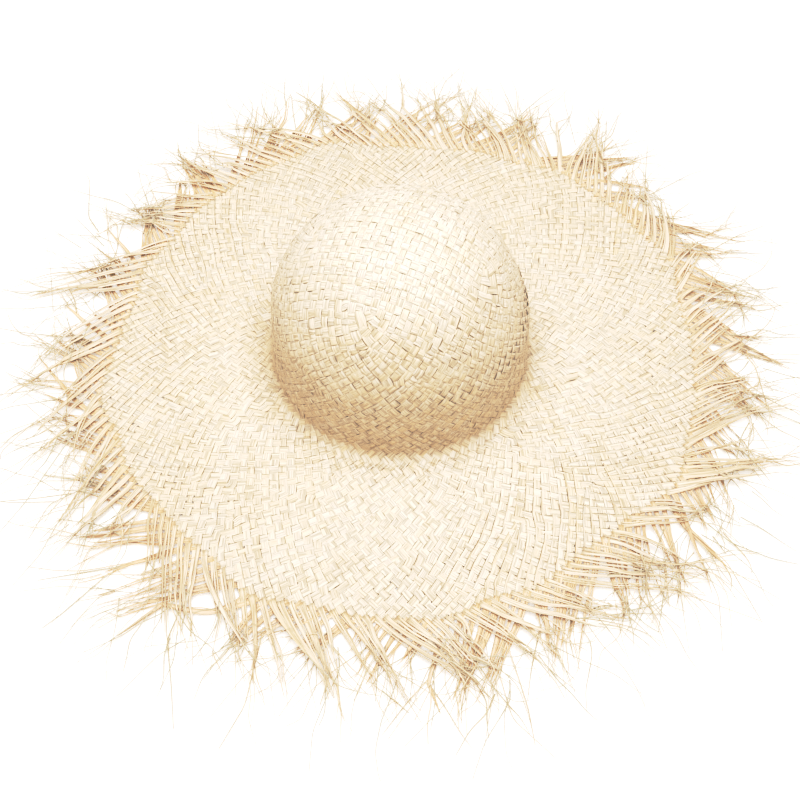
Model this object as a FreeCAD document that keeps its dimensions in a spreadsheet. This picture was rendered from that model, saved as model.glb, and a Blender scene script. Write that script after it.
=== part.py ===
import FreeCAD, Part
import math
import os
import Sketcher

# Straw sun hat: a round dome crown and a wide flat brim woven from raffia strands,
# whose unwoven ends make the fringe. +Z is up, the brim's underside is the plane Z = 0,
# and the Z axis is the crown's axis. -Y is the front of the hat.

os.makedirs("parts", exist_ok=True)
doc = FreeCAD.newDocument("StrawSunHat")

# Driving dimensions, millimetres and degrees.
driving_dimensions = [
    ("head_radius", 90.7),        # inside of the sweatband, a 57 cm head
    ("band_thick", 0.7),          # sweatband ribbon
    ("band_width", 30.0),
    ("band_lift", 9.0),           # height of the ribbon's lower edge
    ("lap_thick", 0.6),           # the ribbon's free end, tucked behind its start
    ("lap_angle", 16.0),
    ("lap_margin", 0.5),
    ("stitch_count", 60),         # overcast stitches under the ribbon's lower edge
    ("stitch_size", 0.8),
    ("stitch_inset", 0.2),
    ("weave_thick", 1.6),         # two crossed strands
    ("base_radius", 96.5),        # crown wall, outside, where it meets the foot
    ("shoulder_radius", 94.1),    # crown wall, outside, where the dome starts
    ("shoulder_height", 42.0),
    ("crown_height", 135.0),
    ("tip_height", 92.0),         # where the dome's shoulder ends and its tip starts
    ("foot_bend", 7.2),           # upper radius of the bend from crown to brim
    ("start_radius", 44.0),       # square-woven start of the weave at the crown's top
    ("brim_radius", 216.0),
    ("fold_offset", 120.0),       # front and back folds of the brim, from the crown's axis
    ("fold_gap", 1.5),
    ("strand_width", 5.4),        # one flat raffia strand where it leaves the weave
    ("strand_tip_width", 1.9),
    ("strand_thick", 0.65),
    ("strand_layer_rise", 0.85),  # the upper family of strands lies this much higher
    ("strand_lift", 0.05),
    ("strand_length", 76.0),      # unwoven length past the brim's edge
    ("strand_lean", 45.0),        # from the radial, one way or the other
    ("strand_gather", 2.9),       # turn of each strand towards the middle of its tuft
    ("strands_in_layer", 6),
    ("stray_width", 1.0),         # long loose fibres that lie on the brim's edge
    ("stray_thick", 0.5),
    ("stray_root", 204.0),
    ("stray_reach", 300.0),
]
sheet = doc.addObject("Spreadsheet::Sheet", "Sizes")
for row, (alias, value) in enumerate(driving_dimensions, start=1):
    sheet.set(f"A{row}", alias)
    sheet.set(f"B{row}", str(value))
    sheet.setAlias(f"B{row}", alias)
doc.recompute()


def size(alias):
    return float(sheet.get(alias))


def bind(thing, bindings):
    for place, formula in bindings.items():
        thing.setExpression(place, formula)


def primitive(kind, name, **bindings):
    thing = doc.addObject(kind, name)
    bind(thing, bindings)
    return thing


def lift(thing, formula):
    thing.setExpression("Placement.Base.z", formula)


def boolean(kind, label, base, tool):
    result = doc.addObject(kind, label)
    result.Label = label
    result.Base = base
    result.Tool = tool
    return result


nodes = []


def hand_in(thing, label):
    thing.Label = label
    nodes.append(thing)
    return thing


def new_body(name):
    body = doc.addObject("PartDesign::Body", name)
    return body


def sketch_on(body, role, name):
    sketch = body.newObject("Sketcher::SketchObject", name)
    plane = [p for p in body.Origin.OriginFeatures if p.Role == role][0]
    sketch.AttachmentSupport = [(plane, "")]
    sketch.MapMode = "FlatFace"
    return sketch


def constrain(sketch, formula, *arguments):
    index = sketch.addConstraint(Sketcher.Constraint(*arguments))
    sketch.setExpression(f"Constraints[{index}]", formula)


# Crown side: the foot's bend and the wall, turned about the crown's axis.
# In the sketch, x is the radius and y is the height.
crown_side = new_body("crown_side")
profile = sketch_on(crown_side, "XZ_Plane", "CrownSideProfile")
wall_out = size("base_radius")
wall_in = wall_out - size("weave_thick")
bend_out = size("foot_bend")
bend_in = bend_out + size("weave_thick")
bend_x = wall_out + bend_out
top_out = size("shoulder_radius")
top_in = top_out - size("weave_thick")
top_z = size("shoulder_height")
point = FreeCAD.Vector
bend_centre = point(bend_x, bend_in, 0)
up = point(0, 0, 1)
quarter = (math.pi, 1.5 * math.pi)
upper_bend = profile.addGeometry(Part.ArcOfCircle(Part.Circle(bend_centre, up, bend_out), *quarter))
lower_bend = profile.addGeometry(Part.ArcOfCircle(Part.Circle(bend_centre, up, bend_in), *quarter))
brim_end = profile.addGeometry(Part.LineSegment(point(bend_x, 0, 0), point(bend_x, bend_in - bend_out, 0)))
outer_wall = profile.addGeometry(Part.LineSegment(point(wall_out, bend_in, 0), point(top_out, top_z, 0)))
inner_wall = profile.addGeometry(Part.LineSegment(point(wall_in, bend_in, 0), point(top_in, top_z, 0)))
top_end = profile.addGeometry(Part.LineSegment(point(top_in, top_z, 0), point(top_out, top_z, 0)))
START, END, CENTRE = 1, 2, 3
for first, first_point, second, second_point in (
    (upper_bend, CENTRE, lower_bend, CENTRE),
    (lower_bend, END, brim_end, START),
    (brim_end, END, upper_bend, END),
    (upper_bend, START, outer_wall, START),
    (lower_bend, START, inner_wall, START),
    (inner_wall, END, top_end, START),
    (top_end, END, outer_wall, END),
):
    joint = Sketcher.Constraint("Coincident", first, first_point, second, second_point)
    profile.addConstraint(joint)
profile.addConstraint(Sketcher.Constraint("Vertical", brim_end))
profile.addConstraint(Sketcher.Constraint("Horizontal", top_end))
profile.addConstraint(Sketcher.Constraint("Horizontal", upper_bend, CENTRE, upper_bend, START))
profile.addConstraint(Sketcher.Constraint("Horizontal", lower_bend, CENTRE, lower_bend, START))
profile.addConstraint(Sketcher.Constraint("Vertical", upper_bend, CENTRE, upper_bend, END))
constrain(profile, "Sizes.foot_bend", "Radius", upper_bend, bend_out)
constrain(profile, "Sizes.foot_bend + Sizes.weave_thick", "Radius", lower_bend, bend_in)
constrain(profile, "Sizes.base_radius + Sizes.foot_bend", "DistanceX", -1, 1, upper_bend, CENTRE, bend_x)
constrain(
    profile, "Sizes.foot_bend + Sizes.weave_thick", "DistanceY", -1, 1, upper_bend, CENTRE, bend_in
)
constrain(profile, "Sizes.shoulder_radius", "DistanceX", -1, 1, outer_wall, END, top_out)
constrain(profile, "Sizes.shoulder_height", "DistanceY", -1, 1, outer_wall, END, top_z)
constrain(
    profile, "Sizes.shoulder_radius - Sizes.weave_thick", "DistanceX", -1, 1, inner_wall, END, top_in
)
turned = crown_side.newObject("PartDesign::Revolution", "CrownSideTurned")
turned.Profile = profile
turned.ReferenceAxis = (profile, ["V_Axis"])
turned.Angle = 360.0
crown_side.Tip = turned
hand_in(crown_side, "crown_side")


# Dome: half an ellipsoid shell on top of the wall, cut at the start's edge.
def half_ellipsoid(name, radius, height):
    dome = primitive("Part::Ellipsoid", name, Radius1=height, Radius2=radius, Radius3=radius)
    dome.Angle1 = 0
    lift(dome, "Sizes.shoulder_height")
    return dome


dome_out = half_ellipsoid("DomeOut", "Sizes.shoulder_radius", "Sizes.crown_height - Sizes.shoulder_height")
dome_in = half_ellipsoid(
    "DomeIn",
    "Sizes.shoulder_radius - Sizes.weave_thick",
    "Sizes.crown_height - Sizes.shoulder_height - Sizes.weave_thick",
)
dome_shell = boolean("Part::Cut", "DomeShell", dome_out, dome_in)
start_core = primitive(
    "Part::Cylinder", "StartCore", Radius="Sizes.start_radius", Height="Sizes.crown_height * 2"
)
below_tip = primitive(
    "Part::Cylinder", "BelowTip", Radius="Sizes.base_radius * 2", Height="Sizes.tip_height"
)
upper_dome = boolean("Part::Cut", "UpperDome", dome_shell, below_tip)
hand_in(boolean("Part::Common", "CrownShoulderShell", dome_shell, below_tip), "crown_shoulder")
hand_in(boolean("Part::Cut", "CrownTipShell", upper_dome, start_core), "crown_tip")
hand_in(boolean("Part::Common", "CrownStartShell", upper_dome, start_core), "crown_start")


# Brim: a flat disc, parted at the two straight folds.
brim_disc = primitive("Part::Cylinder", "BrimDisc", Radius="Sizes.brim_radius", Height="Sizes.weave_thick")
crown_hole = primitive(
    "Part::Cylinder",
    "CrownHole",
    Radius="Sizes.base_radius + Sizes.foot_bend",
    Height="Sizes.weave_thick",
)
brim_ring = boolean("Part::Cut", "BrimRing", brim_disc, crown_hole)


def brim_strip(name, near_edge, depth):
    strip = primitive(
        "Part::Box", name, Length="Sizes.brim_radius * 2", Width=depth, Height="Sizes.weave_thick"
    )
    strip.setExpression("Placement.Base.x", "-Sizes.brim_radius")
    strip.setExpression("Placement.Base.y", near_edge)
    return strip


half_band = "(Sizes.fold_offset - Sizes.fold_gap / 2)"
leaf_start = "(Sizes.fold_offset + Sizes.fold_gap / 2)"
band_box = brim_strip("BandBox", f"-{half_band}", f"2 * {half_band}")
front_box = brim_strip("FrontBox", "-Sizes.brim_radius", f"Sizes.brim_radius - {leaf_start}")
back_box = brim_strip("BackBox", leaf_start, f"Sizes.brim_radius - {leaf_start}")
hand_in(boolean("Part::Common", "BrimBand", brim_ring, band_box), "brim_band")
hand_in(boolean("Part::Common", "BrimFront", brim_disc, front_box), "brim_front")
hand_in(boolean("Part::Common", "BrimBack", brim_disc, back_box), "brim_back")


# Sweatband: a ribbon ring inside the crown.
sweatband = new_body("sweatband")
ring = sketch_on(sweatband, "XY_Plane", "SweatbandRing")
ring.setExpression("AttachmentOffset.Base.z", "Sizes.band_lift")
ring_in = size("head_radius")
ring_out = ring_in + size("band_thick")
for radius, formula in (
    (ring_in, "Sizes.head_radius"),
    (ring_out, "Sizes.head_radius + Sizes.band_thick"),
):
    circle = ring.addGeometry(Part.Circle(point(0, 0, 0), up, radius))
    ring.addConstraint(Sketcher.Constraint("Coincident", circle, CENTRE, -1, 1))
    constrain(ring, formula, "Radius", circle, radius)
ribbon = sweatband.newObject("PartDesign::Pad", "SweatbandRibbon")
ribbon.Profile = ring
ribbon.setExpression("Length", "Sizes.band_width")
sweatband.Tip = ribbon
hand_in(sweatband, "sweatband")


# The ribbon's free end, behind the ribbon at the back of the hat.
def lap_sector(name, radius):
    sector = primitive(
        "Part::Cylinder",
        name,
        Radius=radius,
        Height="Sizes.band_width - 2 * Sizes.lap_margin",
        Angle="Sizes.lap_angle",
    )
    lift(sector, "Sizes.band_lift + Sizes.lap_margin")
    sector.setExpression("Placement.Rotation.Yaw", "90 - Sizes.lap_angle / 2")
    return sector


lap_outer = lap_sector("LapOuter", "Sizes.head_radius + Sizes.band_thick + Sizes.lap_thick")
lap_inner = lap_sector("LapInner", "Sizes.head_radius + Sizes.band_thick")
hand_in(boolean("Part::Cut", "SweatbandLap", lap_outer, lap_inner), "sweatband_lap")


# Thin pieces that repeat: each is worked out here from the sheet's sizes.
def repeated(label, shapes):
    group = doc.addObject("Part::Feature", label)
    group.Shape = Part.makeCompound(shapes)
    return hand_in(group, label)


def turn_to(shape, degrees):
    shape.rotate(point(0, 0, 0), up, degrees)
    return shape


def stitch(degrees):
    inner = size("head_radius") + size("stitch_inset")
    outer = size("base_radius") - size("weave_thick") - size("stitch_inset")
    side = size("stitch_size")
    corner = point(inner, -side / 2, size("band_lift") - side)
    return turn_to(Part.makeBox(outer - inner, side, side, corner), degrees)


stitch_step = 360 / size("stitch_count")
repeated("sweatband_stitches", [stitch(stitch_step * index) for index in range(int(size("stitch_count")))])


# Each zone of the edge reaches from one straight fold to the next, as angles about the
# crown's axis, and keeps its strands on its own side of the folds.
fold_angle = math.degrees(math.asin(size("fold_offset") / size("brim_radius")))
far = 2 * size("stray_reach")
leaf_edge = size("fold_offset") + size("fold_gap") / 2
band_edge = size("fold_offset") - size("fold_gap") / 2
sky = size("crown_height")


def keep_box(low_y, high_y):
    return Part.makeBox(2 * far, high_y - low_y, 2 * sky, point(-far, low_y, -sky))


zones = {
    "front": (180 + fold_angle, 360 - fold_angle, 8, keep_box(-far, -leaf_edge)),
    "right": (-fold_angle, fold_angle, 5, keep_box(-band_edge, band_edge)),
    "back": (fold_angle, 180 - fold_angle, 8, keep_box(leaf_edge, far)),
    "left": (180 - fold_angle, 180 + fold_angle, 5, keep_box(-band_edge, band_edge)),
}
brim_solid = Part.makeCylinder(size("brim_radius"), sky, point(0, 0, -sky / 2))


def tapered_strip(root_radius, root_angle, lean, root_width, tip_width, length, thick, height):
    # A flat strip that leaves the point at root_radius, leaning from the radial.
    half_root = root_width / 2
    half_tip = tip_width / 2
    corners = [point(0, -half_root, 0), point(length, -half_tip, 0), point(length, half_tip, 0)]
    corners += [point(0, half_root, 0), point(0, -half_root, 0)]
    strip = Part.Face(Part.makePolygon(corners)).extrude(point(0, 0, thick))
    turn_to(strip, lean)
    strip.translate(point(root_radius, 0, height))
    return turn_to(strip, root_angle)


def fringe_strand(root_angle, lean, height, keep):
    # The strip starts inside the brim, and the part that is woven is cut away.
    woven = size("strand_width")
    start = size("brim_radius") - woven * math.cos(math.radians(lean))
    back = math.degrees(woven * math.sin(math.radians(lean)) / size("brim_radius"))
    whole = tapered_strip(
        start,
        root_angle - back,
        lean + back,
        size("strand_width"),
        size("strand_tip_width"),
        size("strand_length") + woven,
        size("strand_thick"),
        height,
    )
    free = whole.cut(brim_solid).common(keep)
    return free.Solids


def tuft(first_angle, last_angle, keep):
    # Two families of strands, one leaning each way, that gather towards their tips.
    count = int(size("strands_in_layer"))
    step = (last_angle - first_angle) / count
    least_volume = size("strand_width") * size("strand_thick") * size("strand_length") / 4
    strands = []
    for side, height in ((-1, size("strand_lift")), (1, size("strand_lift") + size("strand_layer_rise"))):
        for index in range(count):
            root_angle = first_angle + step * (index + 0.5)
            from_middle = index - (count - 1) / 2
            lean = side * size("strand_lean") - from_middle * (size("strand_gather") + step)
            for solid in fringe_strand(root_angle, lean, height, keep):
                if solid.Volume > least_volume:
                    strands.append(solid)
    return strands


for zone, (first, last, tufts, keep) in zones.items():
    width = (last - first) / tufts
    for number in range(tufts):
        strands = tuft(first + width * number, first + width * (number + 1), keep)
        repeated(f"fringe_{zone}_{number + 1}", strands)


# Stray fibres: long thin strips that lie on the brim's edge and reach past the fringe.
# Each zone has one straight out, which sets the hat's full width, and a few shorter ones.
stray_layout = [(-0.78, -14, 0.94), (-0.5, 11, 0.96), (-0.24, -9, 0.95), (0, 0, 1.0)]
stray_layout += [(0.2, 8, 0.97), (0.46, -12, 0.95), (0.74, 12, 0.94)]
for zone, (first, last, tufts, keep) in zones.items():
    middle = (first + last) / 2
    fibres = []
    for place, lean, reach in stray_layout:
        fibre = tapered_strip(
            size("stray_root"),
            middle + place * (last - first) / 2,
            lean,
            size("stray_width"),
            size("stray_width") / 2,
            size("stray_reach") * reach - size("stray_root"),
            size("stray_thick"),
            size("weave_thick"),
        )
        fibres += fibre.common(keep).Solids
    repeated(f"stray_fibres_{zone}", fibres)


doc.recompute()
for thing in doc.Objects:
    if "Invalid" in thing.State or "Error" in thing.State:
        raise RuntimeError(f"{thing.Label} did not recompute: {thing.State}")
for node in nodes:
    if node.Shape.isNull() or not node.Shape.isValid():
        raise RuntimeError(f"{node.Label} has no valid shape")
for node in nodes:
    node.Shape.exportStep(f"parts/{node.Label}.step")
    box = node.Shape.BoundBox
    print(
        f"{node.Label:22s} solids {len(node.Shape.Solids):3d}  volume {node.Shape.Volume:9.1f} mm3"
        f"  z {box.ZMin:.2f} to {box.ZMax:.2f}"
    )
print(f"{len(nodes)} nodes")
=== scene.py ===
import math

import bpy
import numpy as np
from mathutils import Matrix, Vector


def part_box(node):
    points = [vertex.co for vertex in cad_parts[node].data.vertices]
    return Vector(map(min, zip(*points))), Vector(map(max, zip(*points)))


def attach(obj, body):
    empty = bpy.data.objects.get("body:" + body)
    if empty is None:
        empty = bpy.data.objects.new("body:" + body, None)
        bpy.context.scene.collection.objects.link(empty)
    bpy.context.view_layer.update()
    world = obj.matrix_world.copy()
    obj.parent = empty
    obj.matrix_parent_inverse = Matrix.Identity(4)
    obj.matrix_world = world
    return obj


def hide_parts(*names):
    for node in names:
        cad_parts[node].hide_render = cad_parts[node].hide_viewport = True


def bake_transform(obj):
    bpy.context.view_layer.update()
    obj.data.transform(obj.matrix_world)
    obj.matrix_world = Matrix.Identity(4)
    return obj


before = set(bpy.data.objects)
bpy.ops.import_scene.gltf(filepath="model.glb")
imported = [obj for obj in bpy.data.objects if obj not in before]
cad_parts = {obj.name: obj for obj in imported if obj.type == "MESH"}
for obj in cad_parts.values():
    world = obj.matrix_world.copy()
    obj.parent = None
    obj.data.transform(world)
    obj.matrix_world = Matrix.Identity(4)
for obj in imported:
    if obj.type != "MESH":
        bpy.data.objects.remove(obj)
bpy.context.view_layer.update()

mm = 0.001
quarter = math.pi / 2
fullTurn = 2 * math.pi


def smooth(low, high, value):
    t = np.clip((np.asarray(value, float) - low) / (high - low), 0, 1)
    return t * t * (3 - 2 * t)


def boxMm(node):
    low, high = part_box(node)
    return np.array(low) / mm, np.array(high) / mm


# the hat's shape, in millimetres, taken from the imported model
shell = {
    "thick": 1.6,  # the woven wall
    "wallTop": 42.0,  # where the side turns into the dome
    "footBend": 8.0,  # radius of the bend from the side to the brim, at mid wall
    "crownTip": 92.0,  # height of the join between shoulder and tip
    "foldStart": 106.0,  # the brim starts to bend here when it is turned up
    "foldEnd": 150.0,
    "foldCut": 104.0,  # where the front and back of the brim are divided off
}
crownHigh = boxMm("crown_start")[1][2] - shell["thick"] / 2
shoulderWide = boxMm("crown_shoulder")[1][0] - shell["thick"] / 2
brimWide = -boxMm("brim_front")[0][1]
startWide = boxMm("crown_start")[1][0]
footIn = boxMm("sweatband")[1][0] + 5.1 - shell["thick"] / 2
footHigh = shell["footBend"] + shell["thick"] / 2


def makeProfile():
    # the hat's outline from the middle of the crown to past the rim: arc length, radius, height
    t = np.linspace(0, quarter, 900)
    dome = np.c_[shoulderWide * np.sin(t), shell["wallTop"] + (crownHigh - shell["wallTop"]) * np.cos(t)]
    u = np.linspace(0, 1, 140)[1:, None]
    wall = np.array([shoulderWide, shell["wallTop"]]) * (1 - u) + np.array([footIn, footHigh]) * u
    t = np.linspace(math.pi, 1.5 * math.pi, 60)[1:]
    middle = footIn + shell["footBend"]
    foot = np.c_[middle + shell["footBend"] * np.cos(t), footHigh + shell["footBend"] * np.sin(t)]
    reach = np.linspace(middle, middle + 230, 900)[1:]
    flat = np.c_[reach, np.full(len(reach), shell["thick"] / 2)]
    line = np.vstack([dome, wall, foot, flat])
    step = np.hypot(*np.diff(line, axis=0).T)
    arc = np.r_[0, np.cumsum(step)]
    even = np.arange(0, arc[-1], 0.25)
    return even, np.interp(even, arc, line[:, 0]), np.interp(even, arc, line[:, 1])


arcLine, radiusLine, heightLine = makeProfile()
slopeR = np.gradient(radiusLine, arcLine)
slopeZ = np.gradient(heightLine, arcLine)


def radiusAt(s):
    return np.interp(s, arcLine, radiusLine)


def arcAtRadius(r):
    # only for the brim, where the radius keeps growing
    first = np.searchsorted(arcLine, 185)
    return np.interp(r, radiusLine[first:], arcLine[first:])


wallEnd = arcAtRadius(footIn + shell["footBend"])

# the crown is a little narrower than round, and the dome most of all on its right
crownPull = {
    "wall": 0.7, "dome": 0.8, "right": 1.6,
    "from": (60, 100), "domeTo": (118, 138), "wallTo": (180, 196),  # arc lengths from the top
}
brimEdge = {
    "swell": 13.0,  # the brim is wider towards the back right
    "swellAt": math.radians(32),
    "swellWide": math.radians(27),
    "waves": [(3, 2.2, 0.6), (5, 3.0, 2.1), (8, 2.4, 4.0), (13, 2.0, 1.2), (21, 1.6, 5.0)],
    "lift": [(2, 1.3, 0.9), (3, 1.1, 2.4), (5, 0.8, 4.4)],  # gentle waves up from the table
}


def rimRadius(angle):
    away = np.mod(angle - brimEdge["swellAt"] + math.pi, fullTurn) - math.pi
    r = brimWide + brimEdge["swell"] * np.exp(-(away / brimEdge["swellWide"]) ** 2)
    for count, high, turn in brimEdge["waves"]:
        r = r + high * np.cos(count * angle + turn)
    return r


def brimLift(angle, s):
    out = np.clip((s - wallEnd) / 110, 0, 1.6)
    wave = sum(high for _, high, _ in brimEdge["lift"])
    for count, high, turn in brimEdge["lift"]:
        wave = wave + high * np.cos(count * angle + turn)
    return 0.55 * wave * out * out + 0.35 * np.clip((s - wallEnd) / 20, 0, 1)


def surfaceAt(s, angle):
    # a point of the hat's middle surface and the outward direction there
    dome = (1 - smooth(*crownPull["domeTo"], s)) * (crownPull["dome"] + crownPull["right"] * np.cos(angle))
    wall = (1 - smooth(*crownPull["wallTo"], s)) * crownPull["wall"]
    r = np.interp(s, arcLine, radiusLine) - smooth(*crownPull["from"], s) * (dome + wall)
    z = np.interp(s, arcLine, heightLine) + brimLift(angle, s)
    dr = np.interp(s, arcLine, slopeR)
    dz = np.interp(s, arcLine, slopeZ)
    point = np.stack([r * np.cos(angle), r * np.sin(angle), z], -1)
    normal = np.stack([-dz * np.cos(angle), -dz * np.sin(angle), dr], -1)
    return point, normal / np.linalg.norm(normal, axis=-1, keepdims=True)


weave = {
    "startLines": 12,  # strands in each quarter of the straight start, an even number
    "startPitch": 5.3,
    "crownPitch": 5.35,
    "brimPitch": 5.1,
    "turn": math.radians(-20),  # how far the start is turned
    "straightTo": 60.0,  # arc length where the strands begin to lean
    "leaningFrom": 112.0,  # and where they all lean by 45 degrees
    "corner": math.radians(7),
    "step": 0.25,
    "growOver": 11.0,  # a new strand reaches its full width over this length
    "bornAt": 0.5,
    "relax": 1.1,
    "crownHigh": 0.4,  # how far a strand rises and dips about the middle surface
    "brimHigh": 0.06,
    "crownThick": 0.36,
    "brimThick": 0.08,
    "curl": 0.4,  # how far a strand's edges turn down, as a share of its rise
    "pinch": 0.2,  # where a strand narrows and leaves a small hole
    "sample": 1.3,
    "seeds": (11, 29),
}
startReach = weave["startLines"] * weave["startPitch"]
levels = np.arange(startReach, arcAtRadius(246), weave["step"])


def pitchAt(s):
    return weave["crownPitch"] + (weave["brimPitch"] - weave["crownPitch"]) * smooth(150, 215, s)


def leanAt(angle, s):
    # how far a strand leans from straight out: square in the start, 45 degrees on the sides and brim
    local = np.mod(angle, quarter)
    edge = np.minimum(local, quarter - local)
    square = quarter / 2 + (local - quarter / 2) * (1 - np.exp(-(edge / weave["corner"]) ** 2))
    keep = 1 - smooth(weave["straightTo"], weave["leaningFrom"], s)
    return np.clip(quarter / 2 + (square - quarter / 2) * keep, 0, math.radians(80))


def layFamily(seed):
    # one direction of strands: carried along, kept evenly spaced, with pairs added as the hat widens
    draw = np.random.default_rng(seed)
    lines = weave["startLines"]
    place = [q * quarter + math.asin((k + 0.5) / lines) for q in range(4) for k in range(lines)]
    theta = np.array(place)
    order = list(range(len(theta)))
    born = [0] * len(theta)
    course = np.full((len(levels), 400), np.nan)
    fine = (np.arange(180) + 0.5) / 180 * quarter
    for n, s in enumerate(levels):
        r, pitch = radiusAt(s), pitchAt(s)
        age = (n - np.array([born[i] for i in order])) * weave["step"]
        weight = np.where(np.array([born[i] for i in order]) == 0, 1.0,
                          weave["bornAt"] + (1 - weave["bornAt"]) * smooth(0, weave["growOver"], age))
        lean = leanAt(theta, s)
        wide = weight * pitch / (r * np.cos(lean))
        gap = np.r_[theta[1:], theta[0] + fullTurn] - theta
        want = 0.5 * (wide + np.r_[wide[1:], wide[0]])
        strain = gap / want
        course[n, order] = theta
        aim = 4 * np.mean(np.cos(leanAt(fine, s))) * quarter * r / pitch
        if aim - len(theta) >= 1.0 or (strain.max() > 1.6 and aim - len(theta) > -1):
            pull = strain + np.r_[strain[1:], strain[0]] * 0.3 + np.r_[strain[-1], strain[:-1]] * 0.3
            at = int(np.argmax(pull + draw.uniform(0, 0.12, len(pull))))
            fresh = [len(born), len(born) + 1]
            born += [n + 1, n + 1]
            spots = theta[at] + gap[at] * np.array([1 / 3, 2 / 3])
            theta = np.insert(theta, at + 1, spots)
            order[at + 1:at + 1] = fresh
            continue
        ease = weave["relax"] * (0.25 + 0.75 * smooth(weave["straightTo"], weave["leaningFrom"], s))
        shift = ease * weave["step"] * (strain - np.r_[strain[-1], strain[:-1]]) * wide
        theta = theta - np.tan(lean) / r * weave["step"] + np.clip(shift, -0.3 * wide, 0.3 * wide)
    rank = np.empty(len(born), int)
    rank[order] = np.arange(len(order))
    course = course[:, :len(born)]
    return {"theta": course, "born": np.array(born), "rank": rank, "order": np.array(order)}


def crossingPhase(own, other):
    # +1 on the crossing strands of even rank, -1 on the odd ones, for each level and strand
    phase = np.full(own["theta"].shape, np.nan)
    for n in range(len(levels)):
        alive = other["order"][~np.isnan(other["theta"][n, other["order"]])]
        spots = -other["theta"][n, alive][::-1]
        index = np.arange(len(alive))[::-1]
        count = len(alive)
        spots = np.r_[spots - fullTurn, spots, spots + fullTurn]
        index = np.r_[index + count, index, index - count]
        here = own["theta"][n]
        base = spots[count]
        inside = base + np.mod(here - base, fullTurn)
        phase[n] = np.cos(math.pi * np.interp(inside, spots, index))
    return phase


def smoothLine(values, reach):
    if len(values) < 2 * reach + 2:
        return values
    weights = np.hanning(2 * reach + 3)[1:-1]
    padded = np.r_[2 * values[0] - values[reach:0:-1], values, 2 * values[-1] - values[-2:-reach - 2:-1]]
    return np.convolve(padded, weights / weights.sum(), "valid")


def strandCourse(family, phase, mirror, strand):
    # arrays along one strand: arc, angle, over and under, width
    lines, pitch = weave["startLines"], weave["startPitch"]
    first = family["born"][strand]
    theta = family["theta"][first:, strand]
    s = levels[first:]
    r = radiusAt(s)
    theta = smoothLine(theta, 10)
    wave = phase[first:, strand]
    slope = np.gradient(theta, s) * r
    lean = np.arctan(np.abs(slope))
    rows = np.arange(first, len(levels))
    place = family["rank"][strand]
    around = np.roll(family["order"], -place)
    spacing = np.empty(len(rows))
    for m, n in enumerate(rows):
        row = family["theta"][n, around]
        live = row[~np.isnan(row)]
        spacing[m] = (np.mod(live[1] - live[0], fullTurn) + np.mod(live[0] - live[-1], fullTurn)) / 2
    wide = smoothLine(np.minimum(spacing * r * np.cos(lean), pitchAt(s) * 1.3), 8)
    if first == 0:
        q, k = divmod(strand, lines)
        y = (k + 0.5) * pitch
        x = np.arange(0, math.sqrt(startReach ** 2 - y ** 2) - 0.4, 0.5)
        s = np.r_[np.hypot(x, y), s]
        theta = np.r_[q * quarter + np.arctan2(y, x), theta]
        wave = np.r_[np.cos(math.pi * (x / pitch - 0.5)), wave]
        wide = np.r_[np.full(len(x), pitch * 0.985), wide]
        wide = smoothLine(wide, 10)
    parity = 1 if place % 2 == 0 else -1
    sign = -1 if mirror else 1
    angle = sign * theta + weave["turn"]
    return s, angle, sign * parity * wave, wide


print("laying out the strands")
families = [layFamily(seed) for seed in weave["seeds"]]
phases = [crossingPhase(families[0], families[1]), crossingPhase(families[1], families[0])]
print("strands in each direction at the rim:", [len(f["born"]) for f in families])


# the outline of a strand's section: across it and through it
sectionX = np.array([-1.0, -0.88, -0.45, 0.45, 0.88, 1.0, 0.5, -0.5])
sectionZ = np.array([0.0, 0.36, 0.48, 0.48, 0.36, 0.0, -0.4, -0.4])


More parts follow.
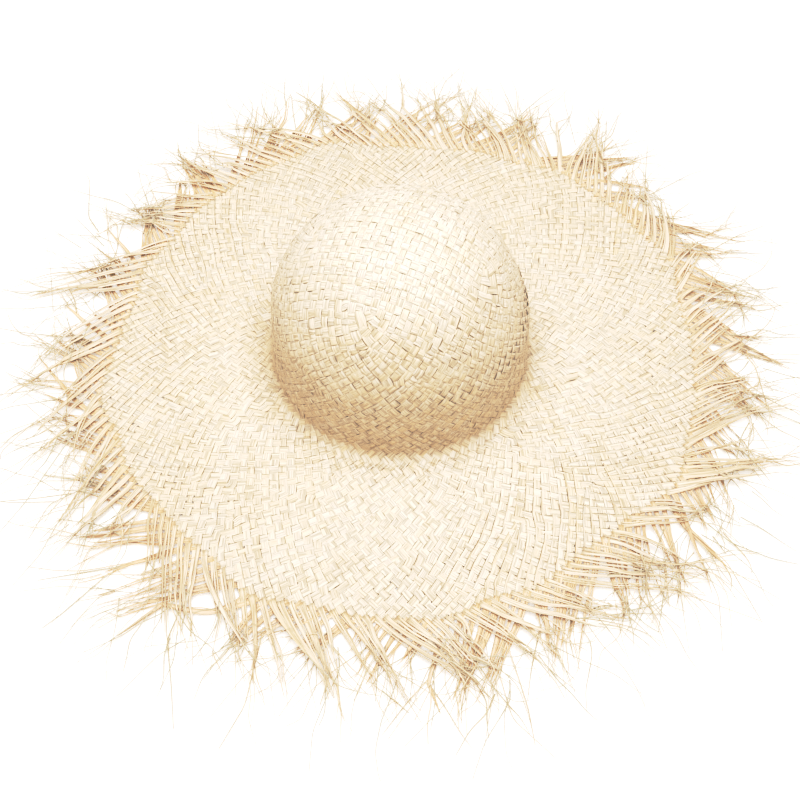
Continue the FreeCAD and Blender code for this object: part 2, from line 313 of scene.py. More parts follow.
class Bundle:
    # gathers ribbons and turns them into one mesh object
    def __init__(self, name):
        self.name = name
        self.points, self.maps, self.shadeAndWearMaps = [], [], []
        self.quads, self.caps = [], []
        self.count = 0

    def ribbon(self, line, normal, half, thick, bend=0.0, along=None, code=0.5, shadeAndWear=0.0, twist=None):
        n = len(line)
        if n < 2:
            return
        ones = np.ones(n)
        half, thick, bend, shadeAndWear = half * ones, thick * ones, bend * ones, shadeAndWear * ones
        ahead = np.gradient(line, axis=0)
        ahead /= np.linalg.norm(ahead, axis=1, keepdims=True) + 1e-9
        side = np.cross(ahead, normal)
        side /= np.linalg.norm(side, axis=1, keepdims=True) + 1e-9
        up = np.cross(side, ahead)
        if twist is not None:
            c, d = np.cos(twist)[:, None], np.sin(twist)[:, None]
            side, up = side * c + up * d, up * c - side * d
        if along is None:
            along = np.r_[0, np.cumsum(np.linalg.norm(np.diff(line, axis=0), axis=1))]
        x = np.tile(sectionX, (n, 1))
        z = sectionZ * thick[:, None] + bend[:, None] * x * x
        reach = x * half[:, None]
        ring = line[:, None, :] + side[:, None, :] * reach[..., None] + up[:, None, :] * z[..., None]
        k = len(sectionX)
        self.points.append(ring.reshape(-1, 3))
        self.maps.append(np.stack([x * half[:, None], np.tile(along[:, None], (1, k)),
                                   np.full((n, k), code)], -1).reshape(-1, 3))
        # per point: distance across from the middle, the painted shade and weathering value, and the height
        # in the section
        self.shadeAndWearMaps.append(np.stack([np.abs(x), np.repeat(shadeAndWear[:, None], k, 1), z], -1).reshape(-1, 3))
        a = self.count + np.arange(n - 1)[:, None] * k + np.arange(k)
        b = self.count + np.arange(n - 1)[:, None] * k + (np.arange(k) + 1) % k
        self.quads.append(np.stack([a, b, b + k, a + k], -1).reshape(-1, 4))
        self.caps.append(self.count + np.arange(k)[::-1])
        self.caps.append(self.count + (n - 1) * k + np.arange(k))
        self.count += n * k

    def make(self, material):
        points = np.vstack(self.points) * mm
        quads, caps = np.vstack(self.quads), np.vstack(self.caps)
        mesh = bpy.data.meshes.new(self.name)
        mesh.vertices.add(len(points))
        mesh.vertices.foreach_set("co", points.astype(np.float32).ravel())
        corners = np.r_[quads.ravel(), caps.ravel()]
        mesh.loops.add(len(corners))
        mesh.loops.foreach_set("vertex_index", corners.astype(np.int32))
        starts = np.r_[np.arange(len(quads)) * 4, quads.size + np.arange(len(caps)) * caps.shape[1]]
        mesh.polygons.add(len(starts))
        mesh.polygons.foreach_set("loop_start", starts.astype(np.int32))
        mesh.polygons.foreach_set("use_smooth", np.ones(len(starts), bool))
        mesh.update(calc_edges=True)
        field = mesh.attributes.new("strandMap", "FLOAT_VECTOR", "POINT")
        field.data.foreach_set("vector", np.vstack(self.maps).astype(np.float32).ravel())
        field = mesh.attributes.new("strandShape", "FLOAT_VECTOR", "POINT")
        field.data.foreach_set("vector", np.vstack(self.shadeAndWearMaps).astype(np.float32).ravel())
        mesh.validate()
        made = bpy.data.objects.new(self.name, mesh)
        bpy.context.scene.collection.objects.link(made)
        mesh.materials.append(material)
        return made


class Wire:
    # a shader value that can be used in sums
    def __init__(self, finish, socket):
        self.finish, self.socket = finish, socket

    def twin(self, out):
        # another output of the same node
        return Wire(self.finish, self.socket.node.outputs[out])

    def sum(self, operation, first, second):
        return self.finish.node("ShaderNodeMath", {"operation": operation}, {0: first, 1: second})

    def __add__(self, other):
        return self.sum("ADD", self, other)

    def __radd__(self, other):
        return self.sum("ADD", other, self)

    def __sub__(self, other):
        return self.sum("SUBTRACT", self, other)

    def __rsub__(self, other):
        return self.sum("SUBTRACT", other, self)

    def __mul__(self, other):
        return self.sum("MULTIPLY", self, other)

    def __rmul__(self, other):
        return self.sum("MULTIPLY", other, self)

    def __abs__(self):
        return self.sum("ABSOLUTE", self, 0.0)


class Finish:
    def __init__(self, name):
        self.material = bpy.data.materials.new(name)
        self.material.use_nodes = True
        self.tree = self.material.node_tree
        self.tree.nodes.clear()

    def node(self, kind, settings, inputs, out=0):
        made = self.tree.nodes.new(kind)
        for key, value in settings.items():
            if key == "stops":
                while len(made.color_ramp.elements) < len(value):
                    made.color_ramp.elements.new(0.5)
                for element, (place, colour) in zip(made.color_ramp.elements, value):
                    element.position, element.color = place, colour
            else:
                setattr(made, key, value)
        for key, value in inputs.items():
            if isinstance(value, Wire):
                self.tree.links.new(value.socket, made.inputs[key])
            else:
                made.inputs[key].default_value = value
        return None if out is None else Wire(self, made.outputs[out])

    def blend(self, factor, first, second):
        return self.node("ShaderNodeMix", {"data_type": "RGBA"}, {0: factor, 6: first, 7: second}, 2)

    def close(self, inputs):
        shader = self.node("ShaderNodeBsdfPrincipled", {}, inputs)
        self.node("ShaderNodeOutputMaterial", {}, {0: shader}, None)


wovenFinish = {
    "pale": (0.87, 0.795, 0.695, 1),
    "warm": (0.84, 0.70, 0.52, 1),
    "line": (0.36, 0.29, 0.21, 1),  # the fine lines between a strand's fibres
    "seam": (0.10, 0.075, 0.05, 1),  # painted shade in the narrow gap along a strand's edge
    "deep": (0.62, 0.40, 0.22, 1),  # painted shade where strands pass beneath each other
    "dry": (0.56, 0.54, 0.44, 1),  # grey, weathered fibres
    "roughness": 0.45,
    "lines": 0.6,
    "fineLines": 0.25,
    "creases": 0.3,
    "edges": 0.85,
    "under": 0.24,
    "weathered": 0.0,
    "relief": 0.5,
}
looseFinish = {
    "pale": (0.90, 0.81, 0.69, 1),
    "warm": (0.84, 0.68, 0.48, 1),
    "line": (0.48, 0.36, 0.24, 1),
    # the edge and deep colours below are painted shade along strand edges and on the lower strands
    "seam": (0.48, 0.36, 0.24, 1),
    "deep": (0.72, 0.44, 0.24, 1),
    "dry": (0.50, 0.48, 0.38, 1),
    "roughness": 0.42,
    "lines": 0.6,
    "fineLines": 0.4,
    "creases": 0.5,
    "edges": 0.06,
    "under": 0.5,
    "weathered": 0.8,
    "relief": 0.6,
}


def makeRaffia(name, look):
    finish = Finish(name)
    place = finish.node("ShaderNodeAttribute", {"attribute_name": "strandMap"}, {}, 1)
    across = finish.node("ShaderNodeSeparateXYZ", {}, {0: place})
    along, code = across.twin(1), across.twin(2)
    shape = finish.node("ShaderNodeAttribute", {"attribute_name": "strandShape"}, {}, 1)
    edge = finish.node("ShaderNodeSeparateXYZ", {}, {0: shape})
    shadeAndWear = edge.twin(1)

    def grain(wide, long, shift, detail):
        spot = finish.node("ShaderNodeCombineXYZ", {}, {0: across * wide, 1: along * long, 2: code * shift})
        return finish.node("ShaderNodeTexNoise", {"noise_dimensions": "3D"},
                           {"Vector": spot, "Scale": 1.0, "Detail": detail, "Roughness": 0.62})

    def ramp(value, low, high, start, end):
        return finish.node("ShaderNodeMapRange", {}, {"Value": value, "From Min": low, "From Max": high,
                                                      "To Min": start, "To Max": end})

    fibres = grain(2.2, 0.03, 91.0, 3.0)
    ridges = grain(0.52, 0.022, 37.0, 1.0)
    fold = grain(0.8, 0.006, 23.0, 1.0)
    broad = grain(0.3, 0.035, 57.0, 2.0)
    colour = finish.blend(ramp(broad * 1.1 + code * 0.4, 0.45, 1.25, 0.0, 1.0), look["pale"], look["warm"])
    colour = finish.blend(ramp(fibres, 0.36, 0.5, look["fineLines"], 0.0), colour, look["line"])
    furrow = ramp(abs(ridges - 0.5), 0.012, 0.085, 1.0, 0.0) * ramp(fold, 0.3, 0.6, 0.25, 1.0)
    colour = finish.blend(furrow * look["lines"], colour, look["line"])
    crease = ramp(abs(fold - 0.5), 0.008, 0.035, look["creases"], 0.0)
    colour = finish.blend(crease, colour, look["line"])
    # painted shade: a dark line along each strand's edge, broken up by noise
    rim = ramp(edge, 0.82, 0.93, 0.0, look["edges"]) * ramp(grain(0.2, 0.09, 71.0, 1.0), 0.38, 0.62, 0.1, 1.0)
    colour = finish.blend(rim, colour, look["seam"])
    # painted shade on strands where they dip beneath a crossing strand, and on the lower fringe layer; the
    # next line paints weathered grey where the value is positive
    colour = finish.blend(ramp(shadeAndWear, -0.1, -1.0, 0.0, look["under"]), colour, look["deep"])
    colour = finish.blend(ramp(shadeAndWear, 0.0, 1.0, 0.0, look["weathered"]), colour, look["dry"])
    bump = finish.node("ShaderNodeBump", {}, {"Height": fibres - crease * 0.5 - furrow * 0.6,
                                              "Strength": look["relief"], "Distance": 0.0006})
    finish.close({"Base Color": colour, "Roughness": look["roughness"], "Normal": bump,
                  "Specular IOR Level": 0.55, "Sheen Weight": 0.1, "Sheen Roughness": 0.5})
    return finish.material


wovenRaffia = makeRaffia("wovenRaffia", wovenFinish)
looseRaffia = makeRaffia("looseRaffia", looseFinish)

zoneNames = ["crownStart", "crownTip", "crownShoulder", "crownSide",
             "brimRight", "brimLeft", "brimFront", "brimBack"]
bundles = {name: Bundle(name) for name in zoneNames}
startArc = np.interp(startWide, radiusLine[:600], arcLine[:600])
tipArc = np.interp(-shell["crownTip"], -heightLine[:900], arcLine[:900])
shoulderArc = np.interp(-shell["wallTop"], -heightLine[:900], arcLine[:900])


def zoneOf(s, angle):
    zone = np.digitize(s, [startArc, tipArc, shoulderArc, wallEnd])
    y = radiusAt(s) * np.sin(angle)
    brim = np.where(y < -shell["foldCut"], 6, np.where(y > shell["foldCut"], 7,
                    np.where(np.cos(angle) > 0, 4, 5)))
    return np.where(zone == 4, brim, zone)


roots = []  # where strands leave the rim
gaps = {  # places on the brim where strands of both directions stand a little apart and leave pinholes
    "count": 90, "between": (118, 213),  # distance from the middle
    "wide": 3.2, "deep": 0.36, "seed": 31,
}
draw = np.random.default_rng(gaps["seed"])
near, far = gaps["between"]
far = near + (far - near) * draw.uniform(0, 1, gaps["count"]) ** 0.6
turn = draw.uniform(0, 2 * math.pi, gaps["count"])
gapSpots = np.stack([far * np.cos(turn), far * np.sin(turn)], 1)
draw = np.random.default_rng(5)
for mirror, (family, phase) in enumerate(zip(families, phases)):
    for strand in range(len(family["born"])):
        s, angle, wave, wide = strandCourse(family, phase, mirror, strand)
        line, normal = surfaceAt(s, angle)
        length = np.r_[0, np.cumsum(np.linalg.norm(np.diff(line, axis=0), axis=1))]
        past = np.nonzero(s > arcAtRadius(rimRadius(angle)))[0]
        stop = past[0] if len(past) else len(s) - 1
        if length[stop] < weave["sample"]:
            continue  # added right at the rim, so nothing of it is woven
        even = np.linspace(0, length[stop], max(3, int(length[stop] / weave["sample"])))
        s, angle, wave, wide = [np.interp(even, length, v) for v in (s, angle, wave, wide)]
        line, normal = surfaceAt(s, angle)
        wander = draw.normal(0, 1, len(even) // 12 + 4)
        knots = np.linspace(0, even[-1], len(wander))
        wander = smoothLine(np.interp(even, knots, wander), 6)
        widths = draw.normal(0, 1, len(even) // 16 + 4)
        widths = smoothLine(np.interp(even, np.linspace(0, even[-1], len(widths)), widths), 6)
        wave = smoothLine(wave, 1)
        overFoot = smooth(wallEnd - 8, wallEnd + 14, s)
        rise = weave["crownHigh"] + (weave["brimHigh"] - weave["crownHigh"]) * overFoot
        bumps = smoothLine(draw.normal(0, 1, len(even)), 2)
        onBrim = smooth(wallEnd - 10, wallEnd + 10, s)
        high = rise * wave * (1 + 0.3 * bumps * (1 - onBrim)) + 0.12 * bumps * (1 - 0.8 * onBrim)
        thick = weave["crownThick"] + (weave["brimThick"] - weave["crownThick"]) * onBrim
        ahead = np.gradient(line, axis=0)
        side = np.cross(ahead, normal)
        side /= np.linalg.norm(side, axis=1, keepdims=True)
        near = smooth(wallEnd + 40, wallEnd + 110, s)
        centre = line + normal * high[:, None] + side * (wander * (0.13 + 0.16 * near))[:, None]
        half = 0.5 * wide * (1.12 - 0.08 * near) * (1 + 0.08 * widths + draw.normal(0, 0.05))
        for _ in range(int(draw.poisson(even[-1] / 55))):
            at = draw.uniform(0, even[-1])
            squeeze = weave["pinch"] * draw.uniform(0.4, 1.2) * np.exp(-((even - at) / 3.2) ** 2)
            half *= 1 - squeeze * (0.25 + 0.75 * near)
        apart = np.linalg.norm(line[:, None, :2] - gapSpots[None], axis=2).min(1)
        half *= 1 - gaps["deep"] * np.exp(-(apart / gaps["wide"]) ** 2)
        half = np.maximum(half, 0.5)
        code = draw.uniform()
        zone = zoneOf(0.5 * (s[1:] + s[:-1]), 0.5 * (angle[1:] + angle[:-1]))
        cuts = np.r_[0, np.nonzero(np.diff(zone))[0] + 1, len(zone)]
        for a, b in zip(cuts[:-1], cuts[1:]):
            part = slice(a, b + 1)
            # the weave's wave goes in as the painted shade value, so strands are shaded where they dip
            # beneath the crossing strand
            bundles[zoneNames[zone[a]]].ribbon(
                centre[part], normal[part], half[part], thick[part], -weave["curl"] * high[part],
                even[part], code, wave[part])
        aim = ahead[-1] / np.linalg.norm(ahead[-1])
        roots.append((mirror, centre[-1], aim, half[-1], code, angle[-1], even[-1]))
print("strands woven:", len(roots))

replaced = {
    "crownStart": "crown_start", "crownTip": "crown_tip", "crownShoulder": "crown_shoulder",
    "crownSide": "crown_side", "brimRight": "brim_band", "brimLeft": "brim_band",
    "brimFront": "brim_front", "brimBack": "brim_back",
}
for name, bundle in bundles.items():
    piece = bundle.make(wovenRaffia)
    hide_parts(replaced[name])
    if name in ("brimFront", "brimBack"):
        side = -1 if name == "brimFront" else 1
        "front_brim" if side < 0 else "back_brim"
        side * shell["foldStart"] * mm
        side * shell["foldEnd"] * mm
        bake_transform(piece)
    else:
        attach(piece, "hat")
    print(name, len(piece.data.polygons))

fringe = {
    "group": (3, 9),  # strands that run together into one tip
    "reach": (58, 96),
    "rise": (0.5, 3.8),  # how high the lower and the upper layer arch
    "split": (1, 4),  # narrow strips that each strand opens into
    "sample": 2.8,
    "kinked": 0.35,  # share of the strands with a bent tip
    "astray": 0.08,
    "seed": 41,
    "high": 15.0,
}
fringeNodes = [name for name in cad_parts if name.startswith("fringe_")]
strayNodes = [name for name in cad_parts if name.startswith("stray_")]


def middleAngle(node):
    low, high = boxMm(node)
    return math.atan2(low[1] + high[1], low[0] + high[0])


fringeAngles = np.array([middleAngle(name) for name in fringeNodes])


def nearestFringe(angle):
    away = np.abs(np.mod(fringeAngles - angle + math.pi, fullTurn) - math.pi)
    return fringeNodes[int(np.argmin(away))]


def camel(node):
    first, *rest = node.split("_")
    return first + "".join(word.capitalize() for word in rest)


def bezier(a, b, c, d, u):
    u = u[:, None]
    return a * (1 - u) ** 3 + b * 3 * u * (1 - u) ** 2 + c * 3 * u * u * (1 - u) + d * u ** 3


def turned(direction, angle):
    c, s = math.cos(angle), math.sin(angle)
    return np.array([direction[0] * c - direction[1] * s, direction[0] * s + direction[1] * c, 0.0])


def kinkedLine(draw, start, direction, length, bends, low, high):
    # a thin fibre that runs on with a few soft kinks and small waves
    knots = [np.array(start, float)]
    heading = math.atan2(direction[1], direction[0])
    lift = start[2]
    for n in range(bends):
        heading += draw.normal(0, 0.3)
        lift = np.clip(lift + draw.normal(0, 1.6), low, high)
        step = length / bends * draw.uniform(0.7, 1.3)
        x, y = knots[-1][0] + step * math.cos(heading), knots[-1][1] + step * math.sin(heading)
        knots.append(np.array([x, y, lift]))
    knots = np.array(knots)
    u = np.linspace(0, bends, max(6, int(length / 2.4)))
    line = np.stack([np.interp(u, np.arange(bends + 1), knots[:, n]) for n in range(3)], -1)
    return np.stack([smoothLine(line[:, n], 2) for n in range(3)], -1)


upward = np.array([0.0, 0.0, 1.0])
fringeBundles = {name: Bundle(camel(name)) for name in fringeNodes}
draw = np.random.default_rng(fringe["seed"])


def softNoise(draw, u, knots, hold):
    # a smooth random line along a strand, still at its root
    values = draw.normal(0, 1, knots)
    values[:hold] = 0
    return smoothLine(np.interp(u, np.linspace(0, 1, knots), values), 2)


def looseStrand(bundle, draw, root, aim, target, length, layer):
    # one strand past the rim: flat at its root, then opening into narrow strips and thin fibres
    _, start, going, rootHalf, code, _, travelled = root
    flank = turned(aim, quarter)
    arch = fringe["rise"][layer] * draw.uniform(0.5, 1.6)
    near = start + going * [1, 1, 0] * length * 0.33 + upward * arch * 0.6
    far = target - aim * length * 0.33 + upward * arch
    count = max(10, int(length / fringe["sample"]))
    u = np.linspace(0, 1, count)
    line = bezier(start, near, far, target, u)
    line += (flank * (softNoise(draw, u, 7, 2) * 0.5)[:, None]
             + upward * (softNoise(draw, u, 6, 2) * 0.5)[:, None])
    if draw.uniform() < fringe["kinked"]:
        m = int(count * draw.uniform(0.55, 0.85))
        bent = turned(aim, draw.normal(0, 0.55))
        onward = np.linalg.norm(line[m:] - line[m], axis=1)
        line[m:] = line[m] + bent * onward[:, None] + upward * (line[m:, 2] - line[m, 2])[:, None]
    fold = draw.uniform(0.0, 0.45)
    body = rootHalf * (1 - 0.26 * smooth(0, 0.09, u)) * (1 - fold * smooth(0.08, 0.8, u))
    twist = draw.normal(0, 0.45) * smooth(0.1, 0.9, u)
    strips = int(draw.integers(*fringe["split"]))
    # painted shade for the fringe strands, stronger on the lower layer
    shade = -0.1 - 0.55 * (1 - layer)
    cuts = np.sort(np.r_[-1, draw.uniform(-0.55, 0.55, strips - 1), 1])
    for left, right in zip(cuts[:-1], cuts[1:]):
        ends = draw.uniform(0.72, 1.0)
        keep = max(5, int(count * ends))
        v = u[:keep] / u[keep - 1]
        apart = 1 + draw.uniform(0.0, 0.7) * v ** 2
        across = 0.5 * (left + right) * body[:keep] * apart
        taper = np.sqrt(np.clip(1 - (v - 0.62).clip(0) / 0.385, 0.02, 1))
        half = 0.5 * (right - left) * body[:keep] * (1 - 0.25 * v) * taper
        raised = draw.uniform(-0.25, 0.45) * smooth(0.05, 0.4, v) + 0.16 * (left + right)
        strip = line[:keep] + flank * across[:, None] + upward * raised[:, None]
        strip += (flank * (softNoise(draw, v, 6, 2) * 0.55)[:, None]
                  + upward * (softNoise(draw, v, 6, 2) * 0.5)[:, None])
        strip[:, 2] = np.clip(strip[:, 2], 0.45, fringe["high"])
        bundle.ribbon(strip, np.tile(upward, (keep, 1)), np.maximum(half, 0.16), 0.3,
                      -draw.uniform(0.05, 0.4) * smooth(0, 0.4, v) * np.minimum(half, 1.5),
                      travelled + v * length, code + 0.13 * left, shade,
                      twist[:keep] + draw.normal(0, 0.25) * v)
    for _ in range(int(draw.integers(2, 5))):
        leave = draw.uniform(0.4, 0.9)
        m = int(leave * (count - 2))
        first = line[m] + flank * body[m] * draw.uniform(-0.9, 0.9) + upward * draw.uniform(0.1, 0.5)
        onward = line[m + 1] - line[m]
        onward = turned(onward / np.linalg.norm(onward), draw.normal(0, 0.12))
        run = length * (1 - leave) + 4 + draw.gamma(1.6, 9.0)
        fibre = kinkedLine(draw, first, onward, run, int(draw.integers(2, 6)), 0.5, 8.0)
        fibre = fibre[np.hypot(fibre[:, 0], fibre[:, 1]) < 321]
        v = np.linspace(0, 1, len(fibre))
        # the fibres get a little painted shade or, mostly, a weathered grey
        bundle.ribbon(fibre, np.tile(upward, (len(fibre), 1)),
                      draw.uniform(0.18, 0.5) * (1 - 0.6 * v ** 2), 0.2, 0.0,
                      travelled + v * run, draw.uniform(), draw.uniform(-0.2, 1.0), draw.normal(0, 0.6) * v)


for layer in (0, 1):
    ends = sorted((root for root in roots if root[0] == layer),
                  key=lambda root: math.atan2(root[1][1], root[1][0]))
    at = 0
    while at < len(ends):
        group = ends[at:at + int(draw.integers(*fringe["group"]))]
        at += len(group)
        middle = np.mean([root[1] for root in group], axis=0)
        heading = np.mean([root[2] for root in group], axis=0) * [1, 1, 0]
        heading = turned(heading / np.linalg.norm(heading), draw.normal(0, 0.11))
        reach = draw.uniform(*fringe["reach"])
        tipHigh = draw.uniform(0.6, 1.4) + layer * draw.uniform(0.4, 3.6)
        flank = turned(heading, quarter)
        gather = draw.uniform(0.2, 0.85)
        for root in group:
            start = root[1]
            bundle = fringeBundles[nearestFringe(math.atan2(start[1], start[0]))]
            astray = draw.uniform() < fringe["astray"]
            aim = turned(heading, draw.normal(0, 0.3 if astray else 0.02))
            offset = float(np.dot(start - middle, flank))
            length = reach * draw.uniform(0.6, 1.12)
            target = start + aim * length if astray else middle + aim * length + flank * (
                offset * gather + draw.normal(0, 1.2))
            target[2] = tipHigh + draw.normal(0, 0.5) + (1.6 if astray else 0)
            looseStrand(bundle, draw, root, aim, target, length, layer)

strays = {
    "fibres": {"front": 34, "right": 26, "back": 34, "left": 32},
    "start": (232, 274),
    "limit": 322.0,
    "seed": 67,
}
draw = np.random.default_rng(strays["seed"])
zoneMiddle = {"front": -quarter, "right": 0.0, "back": quarter, "left": 2 * quarter}
zoneHalf = {"front": 56, "right": 34, "back": 56, "left": 34}
strayBundles = {}
for node in strayNodes:
    zone = node.split("_")[-1]
    bundle = strayBundles[node] = Bundle(camel(node))
    for _ in range(strays["fibres"][zone]):
        angle = zoneMiddle[zone] + math.radians(draw.uniform(-1, 1) * zoneHalf[zone])
        r = draw.uniform(*strays["start"])
        start = np.array([r * math.cos(angle), r * math.sin(angle), draw.uniform(1.5, 5.5)])
        heading = turned(np.array([math.cos(angle), math.sin(angle), 0.0]), draw.normal(0, 0.6))
        run = draw.uniform(26, 92)
        line = kinkedLine(draw, start, heading, run, int(draw.integers(2, 6)), 0.5, 8.0)
        inside = np.hypot(line[:, 0], line[:, 1]) < strays["limit"]
        line = line[:max(3, int(np.argmin(inside)) if not inside.all() else len(line))]
        v = np.linspace(0, 1, len(line))
        bundle.ribbon(line, np.tile(upward, (len(line), 1)),
                      draw.uniform(0.22, 0.5) * (1 - 0.6 * v ** 2), 0.22, 0.0,
                      None, draw.uniform(), draw.uniform(0.3, 1.0), draw.normal(0, 0.8) * v)


def attachToBrim(piece):
    # a piece that reaches past a fold of the brim, at the front or the back, only has its transform baked in;
    # the left and right stray fibres reach past both, and the other pieces go with the hat
    corners = np.array([v[:] for v in piece.bound_box])
    low, high = corners.min(0), corners.max(0)
    for side, body in ((-1, "front_brim"), (1, "back_brim")):
        if max(-low[1] if side < 0 else high[1], 0) > shell["foldStart"] * mm:
            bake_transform(piece)
            return
    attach(piece, "hat")


for node, bundle in {**fringeBundles, **strayBundles}.items():
    piece = bundle.make(looseRaffia)
    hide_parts(node)
    attachToBrim(piece)
print("fringe pieces:", len(fringeBundles), "stray pieces:", len(strayBundles))

band = {
    "ribs": 560,  # crosswise ribs of the woven ribbon
    "ribHigh": 0.09,
    "edgeRoll": 0.12,
    "thick": 0.65,
}


def makeBand(name, material, rIn, rOut, zLow, zHigh, angles, closed):
    count = len(angles)
    zs = np.array([0.0, 0.03, 0.1, 0.3, 0.5, 0.7, 0.9, 0.97, 1.0])
    heights = zLow + (zHigh - zLow) * zs
    edge = np.array([1, 1, 0.2, 0, 0, 0, 0.2, 1, 1]) * band["edgeRoll"]
    rib = band["ribHigh"] * np.cos(np.arange(count) * math.pi)
    inside = rIn + rib[:, None] * (edge == 0)
    outside = rOut - rib[:, None] * (edge == 0)
    radii = np.hstack([inside, outside[:, ::-1]])
    zAll = np.r_[heights, heights[::-1]]
    points = np.stack([radii * np.cos(angles)[:, None], radii * np.sin(angles)[:, None],
                       np.tile(zAll, (count, 1))], -1)
    k = len(zAll)
    faces = []
    for n in range(count if closed else count - 1):
        m = (n + 1) % count
        for j in range(k):
            i = (j + 1) % k
            faces.append((n * k + j, n * k + i, m * k + i, m * k + j))
    if not closed:
        faces.append(tuple(range(k))[::-1])
        faces.append(tuple((count - 1) * k + j for j in range(k)))
    mesh = bpy.data.meshes.new(name)
    mesh.from_pydata((points.reshape(-1, 3) * mm).tolist(), [], faces)
    mesh.polygons.foreach_set("use_smooth", np.ones(len(faces), bool))
    piece = bpy.data.objects.new(name, mesh)
    bpy.context.scene.collection.objects.link(piece)
    mesh.materials.append(material)
    return piece


ribbonFinishLook = {"colour": (0.72, 0.60, 0.44, 1), "dark": (0.58, 0.46, 0.31, 1), "roughness": 0.7}


def makeRibbonFinish(name, look):
    finish = Finish(name)
    place = finish.node("ShaderNodeNewGeometry", {}, {}, 0)
    mottle = finish.node("ShaderNodeTexNoise", {"noise_dimensions": "3D"},
                         {"Vector": place, "Scale": 900.0, "Detail": 3.0, "Roughness": 0.6})
    broad = finish.node("ShaderNodeTexNoise", {"noise_dimensions": "3D"},
                        {"Vector": place, "Scale": 35.0, "Detail": 2.0, "Roughness": 0.5})
    colour = finish.blend(mottle * 0.8 + broad * 0.6 - 0.25, look["colour"], look["dark"])
    bump = finish.node("ShaderNodeBump", {}, {"Height": mottle, "Strength": 0.4, "Distance": 0.0003})
    finish.close({"Base Color": colour, "Roughness": look["roughness"], "Normal": bump,
                  "Sheen Weight": 0.3, "Sheen Roughness": 0.5})
    return finish.material


ribbonMaterial = makeRibbonFinish("sweatbandRibbon", ribbonFinishLook)
threadMaterial = makeRibbonFinish("sewingThread", {"colour": (0.86, 0.80, 0.68, 1),
                                                   "dark": (0.74, 0.66, 0.52, 1),
                                                   "roughness": 0.55})
bandLow, bandHigh = boxMm("sweatband")
lapLow, lapHigh = boxMm("sweatband_lap")
ringAngles = np.arange(band["ribs"] * 2) * math.pi / band["ribs"] + quarter
bandInside = bandHigh[0] - 0.05 - band["thick"]
sweatband = makeBand("sweatbandRibbon", ribbonMaterial, bandInside, bandInside + band["thick"],
                     bandLow[2], bandHigh[2],
                     ringAngles, True)
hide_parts("sweatband")
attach(sweatband, "hat")
lapHalf = math.asin(lapHigh[0] / lapHigh[1])
lapAngles = quarter + np.arange(-lapHalf, lapHalf, math.pi / band["ribs"])
lap = makeBand("sweatbandLap", ribbonMaterial, bandHigh[0] + 0.1, lapHigh[1] - 0.05,
               lapLow[2], lapHigh[2], lapAngles, False)
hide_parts("sweatband_lap")
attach(lap, "hat")

overcast = {"count": 60, "threadHalf": 0.36, "slant": math.radians(0.9)}
stitches = Bundle("sweatbandStitches")
for n in range(overcast["count"]):
    middle = fullTurn * (n + 0.5) / overcast["count"]
    # over the ribbon's lower edge and out into the woven wall
    path = [(bandHigh[0] - 1.15, bandLow[2] + 3.2, -1), (bandHigh[0] - 1.25, bandLow[2] + 1.0, -0.5),
            (bandHigh[0] - 0.9, bandLow[2] - 0.5, 0), (bandHigh[0] + 0.4, bandLow[2] - 0.75, 0.3),
            (bandHigh[0] + 2.0, bandLow[2] - 0.45, 0.6), (bandHigh[0] + 3.1, bandLow[2] - 0.2, 0.9)]
    path = np.array(path)
    u, v = np.linspace(0, 1, 14), np.linspace(0, 1, len(path))
    r, z, lean = (np.interp(u, v, path[:, n]) for n in range(3))
    angle = middle + lean * overcast["slant"]
    line = np.stack([r * np.cos(angle), r * np.sin(angle), z], -1)
    outward = np.stack([np.cos(angle), np.sin(angle), 0.3 + 0 * angle], -1)
    stitches.ribbon(line, outward, overcast["threadHalf"], overcast["threadHalf"] * 1.8, 0.0)
stitching = stitches.make(threadMaterial)
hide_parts("sweatband_stitches")
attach(stitching, "hat")

studio = {
    "elevation": 56.5, "target": (-0.2, -46.4, 0.0), "distance": 813.4, "lens": 50.0,
    "sunStrength": 2.2, "sunAngle": math.radians(60),
    "sunColour": (0.94, 1.0, 1.08), "sunFrom": (0.02, -0.1, 1.0),
    "lampPower": 0.7, "lampSize": 0.3, "lampHigh": 0.46,
    "roomStrength": 0.46, "roomColour": (1.0, 0.77, 0.5, 1), "backdrop": 1.05, "floorGlow": 0.2,
    "toneCurve": [(0, 0), (0.12, 0.075), (0.31, 0.24), (0.45, 0.45),
                  (0.58, 0.66), (0.75, 0.83), (0.9, 0.93), (1, 1)],
}


def makeFloor():
    mesh = bpy.data.meshes.new("floor")
    steps = 24
    grid = np.linspace(-6, 6, steps + 1)
    points = [(x, y, -0.0004) for y in grid for x in grid]
    row = steps + 1
    faces = [(j * row + i, j * row + i + 1, (j + 1) * row + i + 1, (j + 1) * row + i)
             for j in range(steps) for i in range(steps)]
    mesh.from_pydata(points, [], faces)
    floor = bpy.data.objects.new("floor", mesh)
    bpy.context.scene.collection.objects.link(floor)
    finish = Finish("floorPaper")
    finish.close({"Base Color": (0.93, 0.93, 0.93, 1), "Roughness": 1.0, "Specular IOR Level": 0.0,
                  "Emission Color": (1, 1, 1, 1), "Emission Strength": studio["floorGlow"]})
    mesh.materials.append(finish.material)


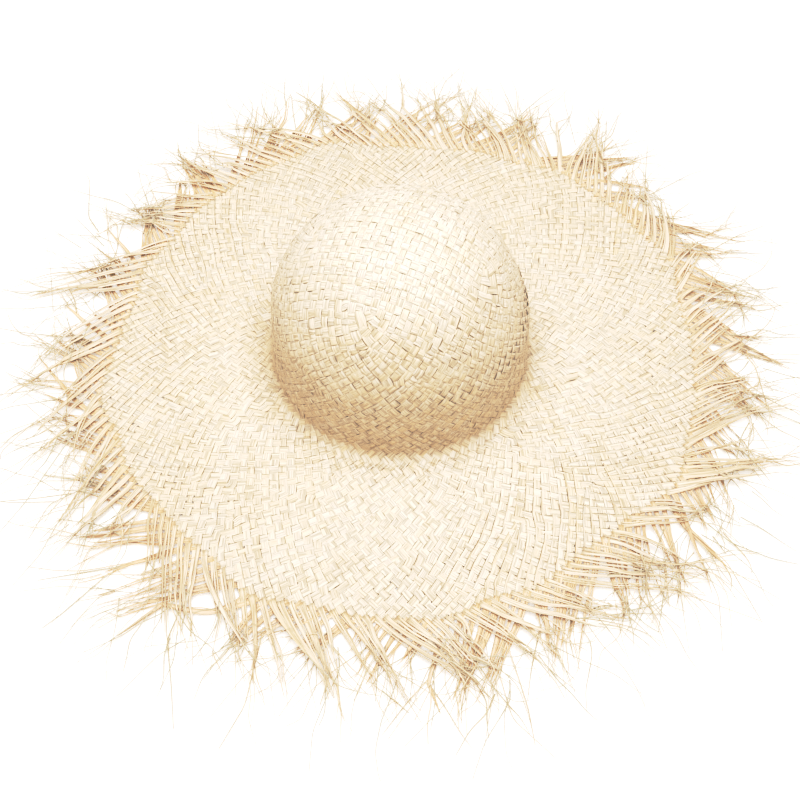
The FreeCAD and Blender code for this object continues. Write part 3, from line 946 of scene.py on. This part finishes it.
def makeSun():
    lamp = bpy.data.lights.new("overheadLight", "SUN")
    lamp.energy, lamp.angle, lamp.color = studio["sunStrength"], studio["sunAngle"], studio["sunColour"]
    light = bpy.data.objects.new("overheadLight", lamp)
    light.rotation_mode = "QUATERNION"
    light.rotation_quaternion = (-Vector(studio["sunFrom"])).to_track_quat("-Z", "Y")
    bpy.context.scene.collection.objects.link(light)


def makeLamp():
    # a round softbox hung over the crown
    lamp = bpy.data.lights.new("softbox", "AREA")
    lamp.shape, lamp.size = "DISK", studio["lampSize"]
    lamp.energy, lamp.color = studio["lampPower"], studio["sunColour"]
    light = bpy.data.objects.new("softbox", lamp)
    light.location = (-0.01, 0.0, studio["lampHigh"])
    light.visible_camera = False
    bpy.context.scene.collection.objects.link(light)


makeFloor()
makeSun()
makeLamp()


class Room(Finish):
    # warm light from the sides, with a plain white backdrop behind the hat
    def __init__(self, name):
        self.material = bpy.data.worlds.new(name)
        self.material.use_nodes = True
        self.tree = self.material.node_tree
        self.tree.nodes.clear()


room = Room("studio")
glow = room.node("ShaderNodeBackground", {}, {0: studio["roomColour"], 1: studio["roomStrength"]})
plain = room.node("ShaderNodeBackground", {}, {0: (1, 1, 1, 1), 1: studio["backdrop"]})
seen = room.node("ShaderNodeLightPath", {}, {})
both = room.node("ShaderNodeMixShader", {}, {0: seen, 1: glow, 2: plain})
room.node("ShaderNodeOutputWorld", {}, {0: both}, None)
bpy.context.scene.world = room.material
view = bpy.context.scene.view_settings
view.view_transform = "Standard"
view.use_curve_mapping = True
curve = view.curve_mapping.curves[3]
for x, y in studio["toneCurve"][1:-1]:
    curve.points.new(x, y)
view.curve_mapping.update()

tilt = math.radians(studio["elevation"])
back = Vector((0, -math.cos(tilt), math.sin(tilt)))
lens = bpy.data.cameras.new("camera")
lens.lens, lens.sensor_width = studio["lens"], 36
lens.clip_start, lens.clip_end = 0.05, 50
camera = bpy.data.objects.new("camera", lens)
camera.location = Vector(studio["target"]) * mm + back * studio["distance"] * mm
camera.rotation_mode = "QUATERNION"
camera.rotation_quaternion = (-back).to_track_quat("-Z", "Y")
bpy.context.scene.collection.objects.link(camera)
bpy.context.scene.camera = camera
